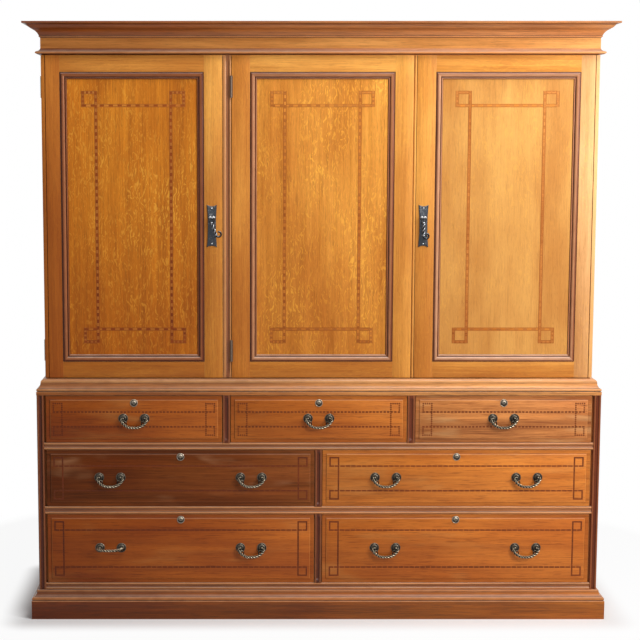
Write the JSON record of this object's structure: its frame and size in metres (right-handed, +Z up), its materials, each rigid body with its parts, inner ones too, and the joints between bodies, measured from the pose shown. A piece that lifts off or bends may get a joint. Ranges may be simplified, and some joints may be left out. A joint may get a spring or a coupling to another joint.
{
  "type": "linen press",
  "caption": "Wide oak linen press: panelled cupboard doors with drop handles over a chest of drawers with rope bail handles, between a moulded cornice and plinth.",
  "frame": {"origin": "on the floor, under the middle of the press's whole box in width and depth", "axes": "+X to the right seen from the front, +Y to the back, +Z up; the doors and drawers face -Y"},
  "size_m": [2.046, 0.6488, 2.1],
  "materials": {
    "door_wood": "waxed golden oak, straight grain",
    "panel_wood": "waxed quarter-sawn golden oak with ray fleck and chequered inlay",
    "drawer_wood": "waxed red-brown oak with a dark dashed inlay line",
    "moulding_wood": "polished dark red-brown hardwood",
    "case_wood": "waxed brown oak boards",
    "interior_wood": "bare seasoned boards",
    "handle_iron": "blackened and rubbed iron",
    "hinge_steel": "worn steel"
  },
  "bodies": {
    "case": {"plinth": "moulding_wood", "lower_side_left": "case_wood", "lower_side_right": "case_wood", "lower_back": "interior_wood", "bottom_board": "moulding_wood", "lower_rail_board": "moulding_wood", "upper_rail_board": "moulding_wood", "waist_frame": "moulding_wood", "upper_side_left": "case_wood", "upper_side_right": "case_wood", "upper_back": "interior_wood", "upper_bottom": "interior_wood", "upper_top": "interior_wood", "upper_partition": "moulding_wood", "left_shelf_1": "interior_wood", "left_shelf_2": "interior_wood", "right_shelf_1": "interior_wood", "right_shelf_2": "interior_wood", "cornice": "moulding_wood", "left_door_hinge_lower": "hinge_steel", "left_door_hinge_upper": "hinge_steel", "middle_door_hinge_lower": "hinge_steel", "middle_door_hinge_upper": "hinge_steel", "right_door_hinge_lower": "hinge_steel", "right_door_hinge_upper": "hinge_steel"},
    "left_door": {"left_door_frame": "door_wood", "left_door_panel": "panel_wood", "left_door_plate": "handle_iron"},
    "middle_door": {"middle_door_frame": "door_wood", "middle_door_panel": "panel_wood"},
    "right_door": {"right_door_frame": "door_wood", "right_door_panel": "panel_wood", "right_door_plate": "handle_iron"},
    "left_drop": {"left_door_drop": "handle_iron"},
    "right_drop": {"right_door_drop": "handle_iron"},
    "bottom_left_drawer": {"bottom_left_drawer_front": "drawer_wood", "bottom_left_drawer_tray": "interior_wood"},
    "bottom_left_drawer_bail_left": {"bottom_left_drawer_bail_left": "handle_iron"},
    "bottom_left_drawer_bail_right": {"bottom_left_drawer_bail_right": "handle_iron"},
    "bottom_right_drawer": {"bottom_right_drawer_front": "drawer_wood", "bottom_right_drawer_tray": "interior_wood"},
    "bottom_right_drawer_bail_left": {"bottom_right_drawer_bail_left": "handle_iron"},
    "bottom_right_drawer_bail_right": {"bottom_right_drawer_bail_right": "handle_iron"},
    "middle_left_drawer": {"middle_left_drawer_front": "drawer_wood", "middle_left_drawer_tray": "interior_wood"},
    "middle_left_drawer_bail_left": {"middle_left_drawer_bail_left": "handle_iron"},
    "middle_left_drawer_bail_right": {"middle_left_drawer_bail_right": "handle_iron"},
    "middle_right_drawer": {"middle_right_drawer_front": "drawer_wood", "middle_right_drawer_tray": "interior_wood"},
    "middle_right_drawer_bail_left": {"middle_right_drawer_bail_left": "handle_iron"},
    "middle_right_drawer_bail_right": {"middle_right_drawer_bail_right": "handle_iron"},
    "top_left_drawer": {"top_left_drawer_front": "drawer_wood", "top_left_drawer_tray": "interior_wood"},
    "top_left_drawer_bail": {"top_left_drawer_bail": "handle_iron"},
    "top_middle_drawer": {"top_middle_drawer_front": "drawer_wood", "top_middle_drawer_tray": "interior_wood"},
    "top_middle_drawer_bail": {"top_middle_drawer_bail": "handle_iron"},
    "top_right_drawer": {"top_right_drawer_front": "drawer_wood", "top_right_drawer_tray": "interior_wood"},
    "top_right_drawer_bail": {"top_right_drawer_bail": "handle_iron"}
  },
  "joints": [
    {"name": "left_door_hinge", "type": "hinge", "parent": "case", "child": "left_door", "pos_m": [-0.9665, -0.22061, 1.4255], "axis": [0, 0, -1], "range_deg": [0, 110]},
    {"name": "middle_door_hinge", "type": "hinge", "parent": "case", "child": "middle_door", "pos_m": [-0.308, -0.24661, 1.4255], "axis": [0, 0, -1], "range_deg": [0, 110]},
    {"name": "right_door_hinge", "type": "hinge", "parent": "case", "child": "right_door", "pos_m": [0.9665, -0.22061, 1.4255], "axis": [0, 0, 1], "range_deg": [0, 110]},
    {"name": "left_drop_pivot", "type": "hinge", "parent": "left_door", "child": "left_drop", "pos_m": [-0.376, -0.26091, 1.426], "axis": [-1, 0, 0], "range_deg": [0, 90]},
    {"name": "right_drop_pivot", "type": "hinge", "parent": "right_door", "child": "right_drop", "pos_m": [0.363, -0.26091, 1.426], "axis": [-1, 0, 0], "range_deg": [0, 90]},
    {"name": "bottom_left_drawer_slide", "type": "slide", "parent": "case", "child": "bottom_left_drawer", "axis": [0, -1, 0], "range_m": [0, 0.4]},
    {"name": "bottom_left_drawer_bail_left_pivot", "type": "hinge", "parent": "bottom_left_drawer", "child": "bottom_left_drawer_bail_left", "pos_m": [-0.7385, -0.28761, 0.255], "axis": [-1, 0, 0], "range_deg": [-90, 0]},
    {"name": "bottom_left_drawer_bail_right_pivot", "type": "hinge", "parent": "bottom_left_drawer", "child": "bottom_left_drawer_bail_right", "pos_m": [-0.2385, -0.28761, 0.255], "axis": [-1, 0, 0], "range_deg": [0, 90]},
    {"name": "bottom_right_drawer_slide", "type": "slide", "parent": "case", "child": "bottom_right_drawer", "axis": [0, -1, 0], "range_m": [0, 0.4]},
    {"name": "bottom_right_drawer_bail_left_pivot", "type": "hinge", "parent": "bottom_right_drawer", "child": "bottom_right_drawer_bail_left", "pos_m": [0.2385, -0.28761, 0.255], "axis": [-1, 0, 0], "range_deg": [0, 90]},
    {"name": "bottom_right_drawer_bail_right_pivot", "type": "hinge", "parent": "bottom_right_drawer", "child": "bottom_right_drawer_bail_right", "pos_m": [0.7385, -0.28761, 0.255], "axis": [-1, 0, 0], "range_deg": [0, 90]},
    {"name": "middle_left_drawer_slide", "type": "slide", "parent": "case", "child": "middle_left_drawer", "axis": [0, -1, 0], "range_m": [0, 0.4]},
    {"name": "middle_left_drawer_bail_left_pivot", "type": "hinge", "parent": "middle_left_drawer", "child": "middle_left_drawer_bail_left", "pos_m": [-0.7385, -0.28761, 0.51], "axis": [-1, 0, 0], "range_deg": [0, 90]},
    {"name": "middle_left_drawer_bail_right_pivot", "type": "hinge", "parent": "middle_left_drawer", "child": "middle_left_drawer_bail_right", "pos_m": [-0.2385, -0.28761, 0.51], "axis": [-1, 0, 0], "range_deg": [0, 90]},
    {"name": "middle_right_drawer_slide", "type": "slide", "parent": "case", "child": "middle_right_drawer", "axis": [0, -1, 0], "range_m": [0, 0.4]},
    {"name": "middle_right_drawer_bail_left_pivot", "type": "hinge", "parent": "middle_right_drawer", "child": "middle_right_drawer_bail_left", "pos_m": [0.2385, -0.28761, 0.51], "axis": [-1, 0, 0], "range_deg": [0, 90]},
    {"name": "middle_right_drawer_bail_right_pivot", "type": "hinge", "parent": "middle_right_drawer", "child": "middle_right_drawer_bail_right", "pos_m": [0.7385, -0.28761, 0.51], "axis": [-1, 0, 0], "range_deg": [0, 90]},
    {"name": "top_left_drawer_slide", "type": "slide", "parent": "case", "child": "top_left_drawer", "axis": [0, -1, 0], "range_m": [0, 0.4]},
    {"name": "top_left_drawer_bail_pivot", "type": "hinge", "parent": "top_left_drawer", "child": "top_left_drawer_bail", "pos_m": [-0.652, -0.28761, 0.722], "axis": [-1, 0, 0], "range_deg": [0, 90]},
    {"name": "top_middle_drawer_slide", "type": "slide", "parent": "case", "child": "top_middle_drawer", "axis": [0, -1, 0], "range_m": [0, 0.4]},
    {"name": "top_middle_drawer_bail_pivot", "type": "hinge", "parent": "top_middle_drawer", "child": "top_middle_drawer_bail", "pos_m": [0, -0.28761, 0.722], "axis": [-1, 0, 0], "range_deg": [0, 90]},
    {"name": "top_right_drawer_slide", "type": "slide", "parent": "case", "child": "top_right_drawer", "axis": [0, -1, 0], "range_m": [0, 0.4]},
    {"name": "top_right_drawer_bail_pivot", "type": "hinge", "parent": "top_right_drawer", "child": "top_right_drawer_bail", "pos_m": [0.652, -0.28761, 0.722], "axis": [-1, 0, 0], "range_deg": [0, 90]}
  ]
}
